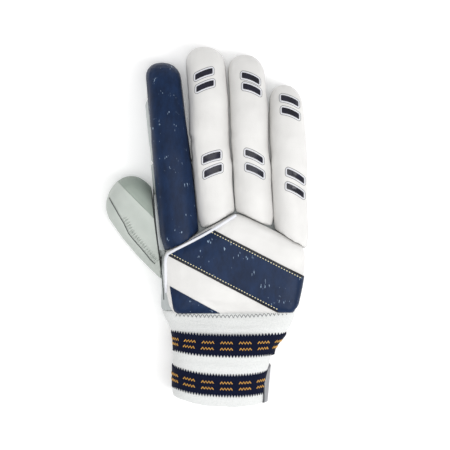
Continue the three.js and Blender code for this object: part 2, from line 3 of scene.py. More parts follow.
import math

import bpy
import numpy
from mathutils import Matrix, Vector
from mathutils.bvhtree import BVHTree
from mathutils.geometry import convex_hull_2d


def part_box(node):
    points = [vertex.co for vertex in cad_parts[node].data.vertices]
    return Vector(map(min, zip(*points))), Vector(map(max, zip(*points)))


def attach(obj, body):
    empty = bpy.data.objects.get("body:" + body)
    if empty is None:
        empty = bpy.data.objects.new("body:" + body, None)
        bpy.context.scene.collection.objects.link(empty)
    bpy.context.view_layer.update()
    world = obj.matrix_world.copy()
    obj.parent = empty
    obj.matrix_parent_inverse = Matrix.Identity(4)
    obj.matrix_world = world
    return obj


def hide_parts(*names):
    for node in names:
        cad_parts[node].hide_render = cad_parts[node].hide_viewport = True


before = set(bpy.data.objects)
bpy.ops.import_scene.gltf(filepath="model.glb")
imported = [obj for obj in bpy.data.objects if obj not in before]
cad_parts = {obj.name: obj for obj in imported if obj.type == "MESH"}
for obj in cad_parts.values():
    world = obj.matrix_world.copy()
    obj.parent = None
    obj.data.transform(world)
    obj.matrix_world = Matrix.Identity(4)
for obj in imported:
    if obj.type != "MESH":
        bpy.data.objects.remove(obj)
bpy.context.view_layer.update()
scene = bpy.context.scene
mm = 0.001
fingers = ["index", "middle", "ring", "little"]
print("glove: the model is loaded")


# Small tools

tools = {"weld": 0.01 * mm, "rayStart": 0.2, "sameCorner": 0.2 * mm, "roundStep": 0.4}
# the angle between two faces, past which their edge stays sharp, on thin sheets and on pads
sharp = {"sheet": 0.8, "pad": 0.9}


def focus(piece):
    bpy.ops.object.select_all(action="DESELECT")
    piece.select_set(True)
    bpy.context.view_layer.objects.active = piece


def shadeByAngle(piece, angle):
    focus(piece)
    bpy.ops.object.shade_smooth_by_angle(angle=angle)


def onWholeMesh(piece, operator, **settings):
    # runs a mesh operator with all of a piece selected
    focus(piece)
    bpy.ops.object.mode_set(mode="EDIT")
    bpy.ops.mesh.select_all(action="SELECT")
    operator(**settings)
    bpy.ops.object.mode_set(mode="OBJECT")


def applyModifier(piece, kind, **settings):
    focus(piece)
    modifier = piece.modifiers.new(kind.title(), kind)
    for setting, value in settings.items():
        setattr(modifier, setting, value)
    bpy.ops.object.modifier_apply(modifier=modifier.name)


def joined(name, parts):
    bpy.ops.object.select_all(action="DESELECT")
    for part in parts:
        part.select_set(True)
    bpy.context.view_layer.objects.active = parts[0]
    if len(parts) > 1:
        bpy.ops.object.join()
    parts[0].name = name
    parts[0].data.name = name
    return parts[0]


def newObject(name, mesh):
    piece = bpy.data.objects.new(name, mesh)
    scene.collection.objects.link(piece)
    return piece


def copyOfNode(name, node):
    # a node's mesh is loose triangles, so its copy is merged
    piece = newObject(name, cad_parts[node].data.copy())
    piece.data.materials.clear()
    onWholeMesh(piece, bpy.ops.mesh.remove_doubles, threshold=tools["weld"])
    return piece


def moveVertices(piece, mover):
    # mover gets a vertex's place and normal, and gives back its new place
    piece.data.update()
    places = [mover(v.co.copy(), v.normal.copy()) for v in piece.data.vertices]
    for vertex, place in zip(piece.data.vertices, places):
        vertex.co = place
    piece.data.update()


def gridOf(name, columns, rows, size=1.0):
    bpy.ops.mesh.primitive_grid_add(x_subdivisions=columns, y_subdivisions=rows, size=size)
    piece = bpy.context.object
    piece.name = name
    return piece


def surfaceOf(piece):
    vertices = [v.co for v in piece.data.vertices]
    return BVHTree.FromPolygons(vertices, [p.vertices for p in piece.data.polygons])


def onTop(surface, x, y, lift=0.0):
    # the point of a surface under (x, y), moved out by lift, and its normal
    hit, normal = surface.ray_cast(Vector((x, y, tools["rayStart"])), Vector((0, 0, -1)))[:2]
    if hit is None:
        return None, None
    return hit + normal * lift, normal


def anticlockwise(outline):
    turn = sum(outline[i - 1].x * p.y - outline[i - 1].y * p.x for i, p in enumerate(outline))
    return outline if turn > 0 else outline[::-1]


def footprint(node):
    # the outline of a node from above
    points = [v.co.to_2d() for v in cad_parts[node].data.vertices]
    outline = [points[i] for i in convex_hull_2d(points)]
    kept = [p for i, p in enumerate(outline) if (p - outline[i - 1]).length > tools["sameCorner"]]
    return anticlockwise(kept)


def roundedOutline(corners, offset, spacing):
    # an outline moved out by offset, with round corners and points at most a spacing apart
    points = []
    for i, corner in enumerate(corners):
        into = corner - corners[i - 1]
        out = corners[(i + 1) % len(corners)] - corner
        first = math.atan2(-into.x, into.y)
        turn = (math.atan2(-out.x, out.y) - first) % (2 * math.pi)
        steps = max(1, math.ceil(turn / tools["roundStep"]))
        for k in range(steps + 1):
            angle = first + turn * k / steps
            points.append(corner + offset * Vector((math.cos(angle), math.sin(angle))))
    return evenly(points, spacing, closed=True)


def evenly(points, spacing, closed=False):
    # points evenly spaced along a line
    ends = points[1:] + points[:1] if closed else points[1:]
    lengths = [(b - a).length for a, b in zip(points, ends)]
    total = sum(lengths)
    count = max(2, round(total / spacing))
    made = []
    for k in range(count if closed else count + 1):
        left = total * k / count
        i = 0
        while i < len(lengths) - 1 and left > lengths[i]:
            left -= lengths[i]
            i += 1
        made.append(points[i].lerp(ends[i], min(1.0, left / max(lengths[i], 1e-9))))
    return made


def tube(name, points, radius, closed=False, sides=3):
    # a round thread through points; it has two more faces round it than twice its sides
    curve = bpy.data.curves.new(name, "CURVE")
    curve.dimensions = "3D"
    curve.bevel_depth = radius
    curve.bevel_resolution = sides - 1
    curve.use_fill_caps = not closed
    spline = curve.splines.new("POLY")
    spline.points.add(len(points) - 1)
    for point, place in zip(spline.points, points):
        point.co = (*place, 1)
    spline.use_cyclic_u = closed
    piece = newObject(name, curve)
    focus(piece)
    bpy.ops.object.convert(target="MESH")
    bpy.ops.object.shade_smooth()
    return piece


def copiesAt(name, original, places):
    # one copy of a small part at each place, all joined; the original is used up
    parts = []
    for place in places:
        mesh = original.data.copy()
        mesh.transform(place)
        parts.append(newObject(name, mesh))
    bpy.data.objects.remove(original)
    return joined(name, parts)


def facing(point, along, normal):
    # the matrix that puts a part at a point, its X along a direction and its Z out of a surface
    z = normal.normalized()
    y = z.cross(along).normalized()
    x = y.cross(z)
    matrix = Matrix((x, y, z)).transposed().to_4x4()
    matrix.translation = point
    return matrix


def smooth(share):
    share = min(1.0, max(0.0, share))
    return share * share * (3 - 2 * share)


# Materials

def newMaterial(name, roughness, **constants):
    # a material's shader, with the values that are the same all over set on its own sockets
    material = bpy.data.materials.new(name)
    material.use_nodes = True
    shader = material.node_tree.nodes["Principled BSDF"]
    shader.inputs["Roughness"].default_value = roughness
    for socket, value in constants.items():
        shader.inputs[socket.replace("_", " ")].default_value = value
    return material


def node(material, kind, **settings):
    made = material.node_tree.nodes.new(kind)
    for setting, value in settings.items():
        setattr(made, setting, value)
    return made


def wire(material, source, output, target, socket):
    material.node_tree.links.new(source.outputs[output], target.inputs[socket])


def coordinates(material, stretch=(1, 1, 1)):
    place = node(material, "ShaderNodeTexCoord")
    mapping = node(material, "ShaderNodeMapping")
    mapping.inputs["Scale"].default_value = stretch
    wire(material, place, "Object", mapping, "Vector")
    return mapping


def noise(material, size, detail=3.0, stretch=(1, 1, 1), roughness=0.55):
    # size is that of the noise's spots, in metres
    made = node(material, "ShaderNodeTexNoise")
    made.inputs["Scale"].default_value = 1 / size
    made.inputs["Detail"].default_value = detail
    made.inputs["Roughness"].default_value = roughness
    wire(material, coordinates(material, stretch), "Vector", made, "Vector")
    return made


def cells(material, size, feature="F1", stretch=(1, 1, 1)):
    made = node(material, "ShaderNodeTexVoronoi", feature=feature)
    made.inputs["Scale"].default_value = 1 / size
    wire(material, coordinates(material, stretch), "Vector", made, "Vector")
    return made


def ramp(material, source, output, stops):
    made = node(material, "ShaderNodeValToRGB")
    elements = made.color_ramp.elements
    while len(elements) < len(stops):
        elements.new(0.5)
    for element, (position, colour) in zip(elements, stops):
        element.position = position
        element.color = (*colour, 1)
    wire(material, source, output, made, "Fac")
    return made


def shaderOf(material):
    return material.node_tree.nodes["Principled BSDF"]


def addBump(material, layers):
    # layers of (source, output, height in metres), the coarse ones first
    above = None
    for source, output, height in layers:
        bump = node(material, "ShaderNodeBump")
        bump.inputs["Strength"].default_value = 1.0
        bump.inputs["Distance"].default_value = height
        wire(material, source, output, bump, "Height")
        if above:
            wire(material, above, "Normal", bump, "Normal")
        above = bump
    wire(material, above, "Normal", shaderOf(material), "Normal")


def colour(red, green, blue):
    # a screen colour, 0 to 255, as Blender's linear one
    def linear(value):
        share = value / 255
        return share / 12.92 if share <= 0.04045 else ((share + 0.055) / 1.055) ** 2.4
    return (linear(red), linear(green), linear(blue))


def tintBy(material, source, output, *stops):
    # a material's colour along a ramp; each stop is a position and a screen colour
    tint = ramp(material, source, output, [(at, colour(*shade)) for at, shade in stops])
    wire(material, tint, "Color", shaderOf(material), "Base Color")


def leather(name, pale, dark, roughness, grain=0.9 * mm, depth=0.05 * mm):
    material = newMaterial(name, roughness, Specular_IOR_Level=0.4)
    clouds = noise(material, 22 * mm, detail=2)
    tintBy(material, clouds, "Fac", (0.3, dark), (0.7, pale))
    pores = cells(material, grain, "SMOOTH_F1")
    wrinkles = noise(material, 5 * mm, detail=5, roughness=0.65)
    addBump(material, [(wrinkles, "Fac", 4 * depth), (pores, "Distance", depth)])
    return material


def flecked(name, base, dark):
    # navy hide with short pale flecks, longer along the hand
    material = newMaterial(name, 0.42, Specular_IOR_Level=0.17)
    clouds = noise(material, 7 * mm, detail=5, stretch=(1, 0.45, 1), roughness=0.7)
    tint = ramp(material, clouds, "Fac", [(0.34, colour(*dark)), (0.66, colour(*base))])
    flecks = noise(material, 1.0 * mm, detail=1.5, stretch=(1, 0.3, 1))
    patches = noise(material, 7 * mm, detail=1)
    shown = node(material, "ShaderNodeMath", operation="MULTIPLY")
    wire(material, flecks, "Fac", shown, 0)
    wire(material, patches, "Fac", shown, 1)
    mask = ramp(material, shown, "Value", [(0.41, (0, 0, 0)), (0.47, (0.8, 0.8, 0.8))])
    mixed = node(material, "ShaderNodeMix", data_type="RGBA")  # colours: in at 6 and 7, out at 2
    mixed.inputs[7].default_value = (*colour(150, 172, 196), 1)
    wire(material, mask, "Color", mixed, 0)
    wire(material, tint, "Color", mixed, 6)
    wire(material, mixed, 2, shaderOf(material), "Base Color")
    crackle = noise(material, 2.2 * mm, detail=4, stretch=(1, 0.5, 1))
    pores = cells(material, 0.8 * mm, "SMOOTH_F1")
    addBump(material, [(crackle, "Fac", 0.1 * mm), (pores, "Distance", 0.03 * mm)])
    return material


def terry(name, pale, dark):
    material = newMaterial(name, 0.95, Sheen_Weight=0.25, Sheen_Roughness=0.6, Specular_IOR_Level=0.15)
    loops = cells(material, 0.9 * mm, stretch=(1, 1.3, 1))
    tintBy(material, loops, "Distance", (0.1, pale), (0.8, dark))
    folds = noise(material, 9 * mm, detail=2, stretch=(0.35, 1.6, 0.35))
    fuzz = noise(material, 0.45 * mm, detail=3)
    addBump(material, [(folds, "Fac", 1.0 * mm), (loops, "Distance", -0.12 * mm), (fuzz, "Fac", 0.07 * mm)])
    return material


def knit(name, pale, dark):
    # elastic webbing, with ribs along its length
    material = newMaterial(name, 0.85, Sheen_Weight=0.02, Specular_IOR_Level=0.12)
    ribs = noise(material, 1.0 * mm, detail=2, stretch=(1, 2.2, 1))
    tintBy(material, ribs, "Fac", (0.35, dark), (0.7, pale))
    threads = noise(material, 0.5 * mm, detail=2, stretch=(0.6, 2, 0.6))
    addBump(material, [(ribs, "Fac", 0.25 * mm), (threads, "Fac", 0.12 * mm)])
    return material


def glossy(name, pale, dark, roughness):
    material = newMaterial(name, roughness, Specular_IOR_Level=0.35, Coat_Weight=0.15, Coat_Roughness=0.12)
    clouds = noise(material, 6 * mm, detail=2)
    tintBy(material, clouds, "Fac", (0.3, dark), (0.75, pale))
    waves = noise(material, 2.5 * mm, detail=2)
    addBump(material, [(waves, "Fac", 0.05 * mm)])
    return material


def thread(name, pale, dark):
    material = newMaterial(name, 0.5, Sheen_Weight=0.15, Specular_IOR_Level=0.4)
    strands = noise(material, 0.35 * mm, detail=2)
    tintBy(material, strands, "Fac", (0.3, dark), (0.7, pale))
    addBump(material, [(strands, "Fac", 0.08 * mm)])
    return material


whiteHide = leather("white_hide", (224, 223, 221), (214, 213, 211), 0.46)
palmLeather = leather("palm_leather", (196, 201, 201), (178, 184, 184), 0.6, 0.7 * mm, 0.08 * mm)
# the thumb's two pads are one leather: the back pad's copy is that leather as lit, and the side pad's copy
# is painted darker, as painted shade for the shade that falls on that side
thumbLeather = leather("thumb_leather", (193, 199, 193), (181, 188, 182), 0.6, 0.7 * mm, 0.06 * mm)
thumbPaintedShade = leather("thumb_leather_painted_shade", (158, 168, 159), (143, 154, 145), 0.62, 0.7 * mm, 0.06 * mm)
pipingHide = leather("piping_hide", (226, 227, 232), (216, 218, 226), 0.42, 0.8 * mm, 0.03 * mm)
navyHide = flecked("navy_hide", (22, 43, 76), (15, 31, 57))
blackHide = leather("black_edging", (22, 22, 26), (13, 13, 16), 0.45)
ventGloss = glossy("vent_plate", (22, 22, 44), (8, 9, 20), 0.22)
towelling = terry("towelling", (226, 227, 226), (212, 214, 213))
navyKnit = knit("navy_elastic", (13, 22, 50), (6, 11, 30))
strapVinyl = glossy("strap_vinyl", (146, 147, 150), (128, 129, 133), 0.45)
# the dark grey along the strap's end is painted shade, for the shadow along that edge
strapEdgeShade = leather("strap_edge_painted_shade", (78, 80, 84), (58, 60, 64), 0.5)
goldThread = thread("gold_thread", (240, 184, 78), (200, 138, 46))
paleGold = thread("pale_gold_thread", (246, 240, 200), (224, 212, 160))
# grey thread for the cuff's scalloped stitching; the same grey also draws the painted shade of the creases
# round the vents
greyThreadAndCreaseShade = thread("grey_thread_and_crease_shade", (112, 115, 118), (84, 87, 90))
darkThread = thread("dark_thread", (66, 70, 70), (38, 42, 42))


def dress(piece, material, slot, *nodes):
    # gives a piece its finish, and makes it stand for its nodes
    piece.data.materials.clear()
    piece.data.materials.append(material)
    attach(piece, "root")
    if nodes:
        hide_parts(*nodes)


# Camera, light and floor, at the photograph's view from straight above

pixel = {"size": 0.78 * mm, "originX": 206.72, "originY": 225.5, "frame": 450}
view = {"distance": 1400 * mm, "height": 25 * mm}


def fromPixel(x, y):
    # a place in the photograph, in pixels from its top left, as a place on the glove
    return Vector(((x - pixel["originX"]) * pixel["size"], (pixel["originY"] - y) * pixel["size"]))


def setTheView():
    cameraData = bpy.data.cameras.new("camera")
    cameraData.lens = cameraData.sensor_width * view["distance"] / (pixel["frame"] * pixel["size"])
    camera = newObject("camera", cameraData)
    middle = fromPixel(pixel["frame"] / 2, pixel["frame"] / 2)
    camera.location = (*middle, view["height"] + view["distance"])
    scene.camera = camera


lights = [
    {"name": "key", "from": (1.05, -0.5, 1.35), "size": 0.9, "power": 11.5, "shadow": True},
    {"name": "fill", "from": (-0.9, -0.2, 1.2), "size": 1.2, "power": 1.0, "shadow": False},
    {"name": "top", "from": (0.1, -0.3, 1.6), "size": 1.4, "power": 8.5, "shadow": True},
]
studio = {"skyStrength": 0.66, "floorSize": 3.0, "floorGlow": 0.14}


def lightTheStudio():
    for light in lights:
        data = bpy.data.lights.new(light["name"], "AREA")
        data.shape = "DISK"
        data.size = light["size"]
        data.energy = light["power"]
        data.use_shadow = light["shadow"]
        lamp = newObject(light["name"], data)
        lamp.location = light["from"]
        lamp.rotation_euler = (-Vector(light["from"])).to_track_quat("-Z", "Y").to_euler()
    world = bpy.data.worlds.new("studio")
    world.use_nodes = True
    world.node_tree.nodes["Background"].inputs["Color"].default_value = (1, 1, 1, 1)
    world.node_tree.nodes["Background"].inputs["Strength"].default_value = studio["skyStrength"]
    scene.world = world
    scene.view_settings.view_transform = "Standard"


def layTheFloor():
    bpy.ops.mesh.primitive_plane_add(size=studio["floorSize"], location=(0, 0, 0))
    floor = bpy.context.object
    floor.name = "floor"
    material = newMaterial("pale_floor", 0.9, Specular_IOR_Level=0.1, Emission_Strength=studio["floorGlow"])
    shaderOf(material).inputs["Base Color"].default_value = (0.97, 0.97, 0.97, 1)
    shaderOf(material).inputs["Emission Color"].default_value = (1, 1, 1, 1)
    floor.data.materials.append(material)


setTheView()
lightTheStudio()
layTheFloor()
print("glove: camera, light and floor")


# Padded pieces

def swell(piece, room, pressure=4.0, frames=20):
    # blows a pad up as stuffed cloth; room gives how far a point with this place and normal may move
    starts = [v.co.copy() for v in piece.data.vertices]
    normals = [v.normal.copy() for v in piece.data.vertices]
    focus(piece)
    cloth = piece.modifiers.new("Stuffing", "CLOTH")
    cloth.settings.use_pressure = True
    cloth.settings.uniform_pressure_force = pressure
    cloth.settings.effector_weights.gravity = 0
    cloth.point_cache.frame_end = frames
    for step in range(1, frames + 1):
        scene.frame_set(step)
    bpy.ops.object.modifier_apply(modifier=cloth.name)
    scene.frame_set(1)
    for vertex, start, normal in zip(piece.data.vertices, starts, normals):
        move = vertex.co - start
        most = room(start, normal)
        if move.length > most:
            vertex.co = start + move * (most / move.length)
    piece.data.update()


# a side is upright where its normal's height is below upright, and is moved only below sideTop
pads = {"sideTop": 30 * mm, "sideFade": 4 * mm, "upright": 0.85, "uprightFade": 0.35, "facesUp": 0.6}


def heldTo(guide, inward, outward):
    # a mover that keeps a vertex between a depth under a surface and a height over it
    def held(place, normal):
        hit, facing = guide.find_nearest(place)[:2]
        height = (place - hit).dot(facing)
        return place + facing * (min(max(height, -inward), outward) - height)
    return held


def padFrom(name, nodes, pad, fillers=()):
    # the merged copy of a node, with any recesses filled, remeshed, smoothed and swollen
    parts = [copyOfNode(name, each) for each in nodes]
    for each in fillers:
        filler = copyOfNode(name, each)
        applyModifier(filler, "DISPLACE", strength=pad["fillGrow"], mid_level=0.0)
        parts.append(filler)
    piece = joined(name, parts)
    applyModifier(piece, "REMESH", mode="VOXEL", voxel_size=pad["voxel"])
    guide = surfaceOf(piece)
    applyModifier(piece, "SMOOTH", factor=0.5, iterations=pad["smoothing"])
    moveVertices(piece, heldTo(guide, pad["shrink"], pad["shrink"]))
    if pad.get("swell"):
        swell(piece, lambda place, normal: pad["topRoom" if normal.z > pads["facesUp"] else "sideRoom"])
    if pad.get("finer"):
        applyModifier(piece, "SUBSURF", levels=1, render_levels=1)
    focus(piece)
    bpy.ops.object.shade_smooth()
    return piece


def closeUp(piece, node, sideGap):
    # brings a pad's upright sides to just outside its node's own, so that neighbours all but touch
    guide = surfaceOf(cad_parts[node])

    def moved(place, normal):
        if abs(normal.z) > pads["upright"]:
            return place
        hit, facing = guide.find_nearest(place)[:2]
        share = smooth((pads["upright"] - abs(normal.z)) / pads["uprightFade"])
        share *= smooth((pads["sideTop"] - place.z) / pads["sideFade"])
        height = (place - hit).dot(facing)
        return place + facing * (sideGap(place) - height) * share
    moveVertices(piece, moved)


# Finger rolls

roll = {
    "voxel": 1.7 * mm,
    "smoothing": 14,
    "shrink": 0.5 * mm,
    "fillGrow": 0.4 * mm,
    "swell": True,
    "topRoom": 0.9 * mm,
    "sideRoom": 0.45 * mm,
    "finer": True,
    "fill": 0.85,
    "sideProud": 0.36 * mm,
    "tipProud": 0.05 * mm,
    "touchFade": 6 * mm,
}
# over the hand, where a roll stands on the leather, its foot spreads on the sides with a neighbour
foot = {"top": 42 * mm, "over": 10 * mm, "front": 54 * mm, "fade": 8 * mm, "sideways": 0.35}
# by how much on the left and on the right, in millimetres
footBy = {"index": (0, 1.2), "middle": (1.1, 1.1), "ring": (1.1, 1.1), "little": (1.1, 0)}
# how far up the glove a roll touches its neighbours
touching = {"index": 73 * mm, "middle": 107 * mm, "ring": 100 * mm, "little": 92 * mm}
# where a roll is pinched in at its joint: place, reach and depth, in millimetres
pinchTallness = 0.45  # below one, a pinch reaches further up and down than sideways
pinches = {
    "index": [],
    "middle": [
        {"x": -10.9, "y": 66.5, "z": 30, "reach": 7, "depth": 1.6},
        {"x": 17.1, "y": 90, "z": 24, "reach": 5, "depth": 0.5},
        {"x": 20.6, "y": 63, "z": 34, "reach": 6, "depth": 0.4},
    ],
    "ring": [
        {"x": 21.1, "y": 72, "z": 34, "reach": 7, "depth": 0.5},
        {"x": 51.1, "y": 60, "z": 34, "reach": 7, "depth": 0.5},
    ],
    "little": [
        {"x": 53.6, "y": 58, "z": 34, "reach": 7, "depth": 0.5},
    ],
}


def pinch(piece, dents):
    def moved(place, normal):
        for dent in dents:
            middle = Vector((dent["x"], dent["y"], dent["z"])) * mm
            height = (place.z - middle.z) * pinchTallness
            away = Vector((place.x - middle.x, place.y - middle.y, height)).length
            share = smooth(1 - away / (dent["reach"] * mm))
            place = place - normal * share * dent["depth"] * mm
        return place
    moveVertices(piece, moved)


ventsOf = {f: [n for n in sorted(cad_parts) if n.startswith(f + "_vent_")] for f in fingers}
rolls = {}


def sideRoomOf(finger):
    def proud(place):
        share = smooth((touching[finger] - place.y) / roll["touchFade"])
        return roll["tipProud"] + share * (roll["sideProud"] - roll["tipProud"])
    return proud


def footOf(finger):
    def spread(place, normal):
        by = footBy[finger][normal.x > 0] * mm * math.copysign(1, normal.x)
        share = smooth((foot["top"] - place.z) / foot["over"])
        share *= smooth((foot["front"] - place.y) / foot["fade"])
        return place + Vector((by * share * smooth(abs(normal.x) / foot["sideways"]), 0, 0))
    return spread


for finger in fingers:
    piece = padFrom(finger + "_padding", [finger + "_roll"], roll, ventsOf[finger])
    closeUp(piece, finger + "_roll", sideRoomOf(finger))
    moveVertices(piece, footOf(finger))
    pinch(piece, pinches[finger])
    if finger == "index":
        dress(piece, navyHide, "navy_hide", finger + "_roll")
    else:
        dress(piece, whiteHide, "white_hide", finger + "_roll")
    rolls[finger] = piece
print("glove: finger rolls")


# Vents in the rolls: a dark plate, a raised white rim and a grey line round it, which is painted shade
# standing in for the shadow of the crease there

vent = {
    "plateLift": 0.32 * mm,
    "plateThickness": 0.5 * mm,
    "plateSpacing": 0.6 * mm,
    "rimRadius": 0.45 * mm,
    "rimOffset": 0.62 * mm,
    "creaseShadeRadius": 0.19 * mm,
    "creaseShadeOffset": 1.4 * mm,
    "spacing": 0.7 * mm,
    "corner": 0.5 * mm,
    "endReach": 0.5 * mm,
    "edgeRound": 0.12 * mm,
    "sheetSize": 2.05,
    "bowMiddle": 0.4,
    "bow": {"index": 0, "middle": 0.8 * mm, "ring": 1.3 * mm, "little": 1.3 * mm},
}


def ventOutline(ventNode):
    # a vent's slanted bar with only a small cut at its corners, in its node's place and size
    points = footprint(ventNode)
    sides = [min(p.x for p in points), max(p.x for p in points)]
    heights = [numpy.mean([p.y for p in points if abs(p.x - side) < vent["endReach"]]) for side in sides]
    middle = Vector((sum(sides) / 2, sum(heights) / 2))
    half = (sides[1] - sides[0]) / 2
    slope = (heights[1] - heights[0]) / (2 * half)
    thick = max(abs(p.y - middle.y - (p.x - middle.x) * slope) for p in points)
    cut = vent["corner"]
    bar = [(half, thick - cut), (half - cut, thick), (cut - half, thick), (-half, thick - cut)]
    bar += [(-x, -y) for x, y in bar]
    return [middle + Vector((x, y + x * slope)) for x, y in bar]


def bowed(point, middle, half, bow):
    # a place on a vent that is bent a little towards the fingertips
    share = (point.x - middle.x) / half
    return Vector((point.x, point.y + bow * (vent["bowMiddle"] - share * share)))


def plateOver(name, corners, surface, bow):
    # a thin plate of an outline's shape, bent and laid on a surface from above
    middle = sum(corners, Vector((0, 0))) / len(corners)
    half = max((corner - middle).length for corner in corners)
    divisions = max(4, round(2 * half / vent["plateSpacing"]))
    sheet = gridOf(name, divisions, divisions, vent["sheetSize"] * half)
    sheet.data.transform(Matrix.Translation((*middle, 0)))
    trim(sheet, corners)

    def laid(place, normal):
        return onTop(surface, *bowed(place, middle, half, bow), vent["plateLift"])[0]
    moveVertices(sheet, laid)
    applyModifier(sheet, "SOLIDIFY", thickness=vent["plateThickness"], offset=-1.0)
    applyModifier(sheet, "BEVEL", width=vent["edgeRound"], segments=1, limit_method="ANGLE", angle_limit=1.0)
    shadeByAngle(sheet, sharp["sheet"])
    return sheet


def trim(piece, corners, skip=lambda outward: False):
    # cuts away what lies outside an outline, with an upright cut along each of its sides
    focus(piece)
    bpy.ops.object.mode_set(mode="EDIT")
    for i, corner in enumerate(corners):
        side = corner - corners[i - 1]
        outward = Vector((side.y, -side.x, 0)).normalized()
        if skip(outward):
            continue
        bpy.ops.mesh.select_all(action="SELECT")
        bpy.ops.mesh.bisect(plane_co=(*corner, 0), plane_no=outward, clear_outer=True)
    bpy.ops.object.mode_set(mode="OBJECT")


def ringOn(surface, corners, offset, bow):
    # a line on a surface, round a vent and at an even distance from it
    middle = sum(corners, Vector((0, 0))) / len(corners)
    half = max((corner - middle).length for corner in corners)
    around = [bowed(p, middle, half, bow) for p in roundedOutline(corners, offset, vent["spacing"])]
    path = [onTop(surface, p.x, p.y)[0] for p in around]
    return [p for p in path if p]


for finger in fingers:
    surface = surfaceOf(rolls[finger])
    rims = []
    lines = []
    bow = vent["bow"][finger]
    for ventNode in ventsOf[finger]:
        corners = ventOutline(ventNode)
        dress(plateOver(ventNode + "_plate", corners, surface, bow), ventGloss, "vent_plate", ventNode)
        rim = ringOn(surface, corners, vent["rimOffset"], bow)
        rims.append(tube("rim", rim, vent["rimRadius"], closed=True))
        # the grey line is painted shade: a thin grey tube where the crease round the rim lies in shadow
        line = ringOn(surface, corners, vent["creaseShadeOffset"], bow)
        lines.append(tube("line", line, vent["creaseShadeRadius"], closed=True, sides=2))
    if rims:
        dress(joined(finger + "_vent_rims", rims), pipingHide, "white_hide")
        dress(joined(finger + "_vent_crease_shades", lines), greyThreadAndCreaseShade, "white_hide")
print("glove: vents")


# Hand, stalls and thumb

shell = {"voxel": 1.25 * mm, "smoothing": 6, "shrink": 0.35 * mm}
# the index finger's own leather shows beside its roll only below this place
tuck = {"from": 94 * mm, "over": 9 * mm, "by": 4 * mm}


def tucked(place, normal):
    return place + Vector((smooth((place.y - tuck["from"]) / tuck["over"]) * tuck["by"], 0, 0))


crease = {
    "depth": 0.45 * mm, "right": -27 * mm, "fade": 8 * mm, "top": 10 * mm, "topFade": 12 * mm,
    "wave": 3.4 * mm, "length": 13 * mm, "bends": [(1.4 * mm, 9 * mm, 0), (0.8 * mm, 3.7 * mm, 1)],
}


def creased(place, normal):
    # soft upright wrinkles on the thumb's side of the hand, below the thumb
    share = smooth((crease["right"] - place.x) / crease["fade"])
    share *= smooth((crease["top"] - place.y) / crease["topFade"])
    bend = sum(by * math.sin(place.y / length + start) for by, length, start in crease["bends"])
    wave = math.sin((place.x + bend) / crease["wave"] * 2 * math.pi)
    wave *= math.sin(place.y / crease["length"] + 0.6)
    return place + normal * share * wave * crease["depth"]


handBody = padFrom("hand_body", ["hand"], shell)
moveVertices(handBody, creased)
dress(handBody, palmLeather, "palm_leather", "hand")
for finger in fingers:
    stall = padFrom(finger + "_stall_leather", [finger + "_stall"], shell)
    if finger == "index":
        moveVertices(stall, tucked)
    dress(stall, palmLeather, "palm_leather", finger + "_stall")
thumbStall = padFrom("thumb_stall_leather", ["thumb_stall"], shell)
dress(thumbStall, palmLeather, "palm_leather", "thumb_stall")

thumbPad = {
    "voxel": 1.1 * mm,
    "smoothing": 8,
    "shrink": 0.3 * mm,
    "fillGrow": 0.2 * mm,
    "swell": True,
    "topRoom": 0.5 * mm,
    "sideRoom": 0.3 * mm,
    "finer": True,
    "fill": 0.7,
}
# the sewn seam of the thumb, as photograph places: x and y in pixels
thumbSeamPixels = [
    (108.4, 197.6), (115.3, 209.1), (118.7, 215.2), (123.7, 223.6), (128.3, 233.6),
    (133.7, 240.4), (139.8, 247.3), (145.1, 253.5), (149.7, 259.6), (154.5, 264),
]
thumbThread = {"spacing": 0.6 * mm, "lift": 0.05 * mm, "radius": 0.34 * mm}
pleats = {
    "pitch": 2.2 * mm, "length": 6 * mm, "depth": 0.8 * mm, "start": 0.25, "startFade": 0.12,
    "groove": 1.0 * mm, "grooveWidth": 0.8 * mm, "endFade": 1.5 * mm, "facesUp": 0.1,
}
# where the thumb's cover stops beside the hand, as photograph places
thumbEnd = [(150.1, 184.6), (159.6, 264.2)]
# the sewn ridge between the thumb's two pads, an upright plane
ridge = {"point": Vector((-17.57, -17.57, 0)) * mm, "across": Vector((0.7071, 0.7071, 0)), "gap": 0.06 * mm}
thumbSeam = evenly([fromPixel(*p) for p in thumbSeamPixels], thumbThread["spacing"])


def gather(piece, line):
    # presses a seam into a pad, with short pleats on its upper right side
    total = len(line) - 1

    def moved(place, normal):
        if normal.z < pleats["facesUp"]:
            return place
        at = place.to_2d()
        nearest = min(range(total + 1), key=lambda i: (line[i] - at).length)
        along = (line[min(nearest + 1, total)] - line[max(nearest - 1, 0)]).normalized()
        away = at - line[nearest]
        across = away.x * along.y - away.y * along.x
        past = abs(away.dot(along))
        if past > pleats["endFade"]:
            return place
        fade = smooth(1 - past / pleats["endFade"])
        sink = pleats["groove"] * math.exp(-(across / pleats["grooveWidth"]) ** 2)
        half = pleats["length"] / 2
        window = smooth((nearest / total - pleats["start"]) / pleats["startFade"])
        window *= smooth(1 - abs(-across - half) / half)
        wave = math.cos(2 * math.pi * (nearest * thumbThread["spacing"]) / pleats["pitch"])
        return place - normal * fade * (sink + window * wave * pleats["depth"])
    moveVertices(piece, moved)


def cutAndClosed(piece, place, outward):
    # cuts off what lies outward of a plane through a place, and closes the cut
    cut = {"plane_co": place, "plane_no": outward, "use_fill": True, "clear_outer": True}
    onWholeMesh(piece, bpy.ops.mesh.bisect, **cut)


def cutShort(piece, start, end):
    # cuts a closed piece along an upright plane; what lies left of the way to the end goes
    along = (end - start).normalized()
    cutAndClosed(piece, (*start, 0), (-along.y, along.x, 0))


def halfOf(name, piece, outward):
    # the closed part of a piece on one side of the ridge
    half = newObject(name, piece.data.copy())
    cutAndClosed(half, ridge["point"] - outward * ridge["gap"], outward)
    shadeByAngle(half, sharp["pad"])
    return half


